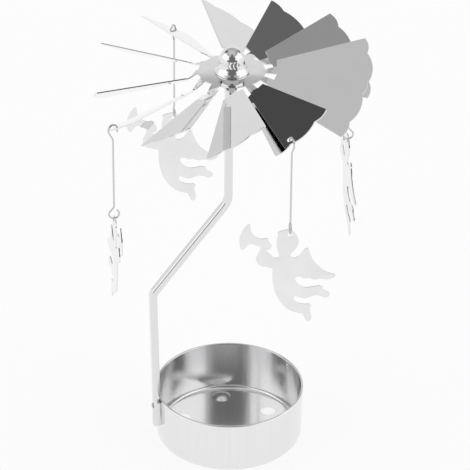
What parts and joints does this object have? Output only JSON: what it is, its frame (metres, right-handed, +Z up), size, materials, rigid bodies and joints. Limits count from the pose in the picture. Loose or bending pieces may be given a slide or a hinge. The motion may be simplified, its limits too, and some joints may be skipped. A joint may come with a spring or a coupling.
{
  "type": "candle carousel",
  "caption": "Round tea light cup with a bent arm whose needle carries a bladed wheel that warm air turns, with flat trumpet angels hung from it on wire hooks.",
  "frame": {"origin": "centre of the cup's flat underside", "axes": "+Z up along the wheel's axis, -Y towards the side that the picture shows; the arm stands on the left, 161 degrees clockwise of +X"},
  "size_m": [0.1026, 0.1033, 0.171],
  "materials": {
    "polished_sheet": "polished nickel plate",
    "polished_strip": "polished nickel plate",
    "mirror_sheet": "mirror-bright plated sheet",
    "turned_chrome": "bright chrome",
    "wire": "bright drawn wire",
    "rivet_steel": "plain steel",
    "needle_steel": "ground steel",
    "bearing_brass": "turned"
  },
  "bodies": {
    "stand": {"cup": "polished_sheet", "arm": "polished_strip", "arm_rivet": "rivet_steel", "needle": "needle_steel"},
    "rotor": {"wheel": "mirror_sheet", "hub_cap": "turned_chrome", "hub_washer": "rivet_steel", "bearing": "bearing_brass"},
    "hook_1": {"hook_1": "wire"},
    "angel_1": {"angel_1": "mirror_sheet"},
    "hook_2": {"hook_2": "wire"},
    "angel_2": {"angel_2": "mirror_sheet"},
    "hook_3": {"hook_3": "wire"},
    "angel_3": {"angel_3": "mirror_sheet"},
    "hook_4": {"hook_4": "wire"},
    "angel_4": {"angel_4": "mirror_sheet"}
  },
  "joints": [
    {"name": "rotor_spin", "type": "hinge", "parent": "stand", "child": "rotor", "pos_m": [0, 0, 0.16705], "axis": [0, 0, 1], "continuous": true},
    {"name": "hook_1_swing", "type": "hinge", "parent": "rotor", "child": "hook_1", "pos_m": [0.04443, 0.02301, 0.15768], "axis": [0.4599, -0.888, 0], "range_deg": [-12, 40]},
    {"name": "angel_1_swing", "type": "hinge", "parent": "hook_1", "child": "angel_1", "pos_m": [0.04443, 0.02301, 0.11978], "axis": [0.9836, 0.1802, 0], "range_deg": [-45, 45]},
    {"name": "hook_2_swing", "type": "hinge", "parent": "rotor", "child": "hook_2", "pos_m": [-0.02224, 0.0445, 0.15473], "axis": [0.8945, 0.4471, 0], "range_deg": [-12, 40]},
    {"name": "angel_2_swing", "type": "hinge", "parent": "hook_2", "child": "angel_2", "pos_m": [-0.02224, 0.0445, 0.11683], "axis": [-0.166, 0.9861, 0], "range_deg": [-45, 45]},
    {"name": "hook_3_swing", "type": "hinge", "parent": "rotor", "child": "hook_3", "pos_m": [-0.04298, -0.02321, 0.14957], "axis": [-0.4751, 0.8799, 0], "range_deg": [-12, 40]},
    {"name": "angel_3_swing", "type": "hinge", "parent": "hook_3", "child": "angel_3", "pos_m": [-0.04298, -0.02321, 0.11167], "axis": [-0.9804, -0.1971, 0], "range_deg": [-45, 45]},
    {"name": "hook_4_swing", "type": "hinge", "parent": "rotor", "child": "hook_4", "pos_m": [0.02167, -0.04507, 0.15733], "axis": [-0.9012, -0.4334, 0], "range_deg": [-12, 40]},
    {"name": "angel_4_swing", "type": "hinge", "parent": "hook_4", "child": "angel_4", "pos_m": [0.02167, -0.04507, 0.11943], "axis": [0.1509, -0.9885, 0], "range_deg": [-45, 45]}
  ]
}
